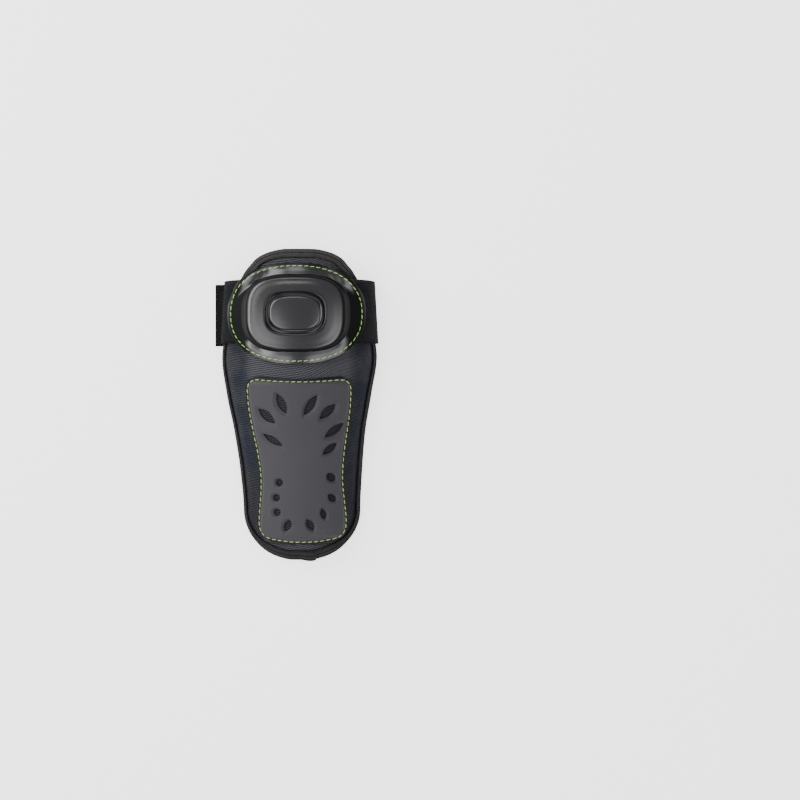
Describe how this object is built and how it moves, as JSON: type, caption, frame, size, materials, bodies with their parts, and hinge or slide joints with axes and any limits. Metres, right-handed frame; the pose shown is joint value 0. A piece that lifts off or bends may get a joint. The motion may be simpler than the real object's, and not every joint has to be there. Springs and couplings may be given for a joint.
{
  "type": "knee guard",
  "caption": "Padded knee and shin guard with a moulded knee cap, a moulded shin panel and a fastened elastic strap.",
  "frame": {"origin": "on the floor under the centre of the guard's footprint, with the guard lying face up on the back of its strap", "axes": "+Z out of the guard's front, +Y from the shin end to the knee end, +X to the right seen from the front"},
  "size_m": [0.1418, 0.2668, 0.0549],
  "materials": {
    "mesh_cloth": "woven spacer mesh",
    "lining_cloth": "brushed knit",
    "binding_tape": "folded knit tape",
    "cap_shell": "gloss moulded sheet",
    "panel_rubber": "matt moulded sheet",
    "strap_elastic": "ribbed elastic webbing",
    "wing_elastic": "ribbed elastic webbing",
    "hook_tape": "hook fastener tape",
    "stitch_thread": "twisted sewing thread"
  },
  "bodies": {
    "root": {"mesh_pad": "mesh_cloth", "inner_lining": "lining_cloth", "edge_binding": "binding_tape", "knee_cap": "cap_shell", "shin_panel": "panel_rubber", "elastic_strap": "strap_elastic", "strap_wing": "wing_elastic", "hook_patch": "hook_tape"}
  },
  "joints": []
}
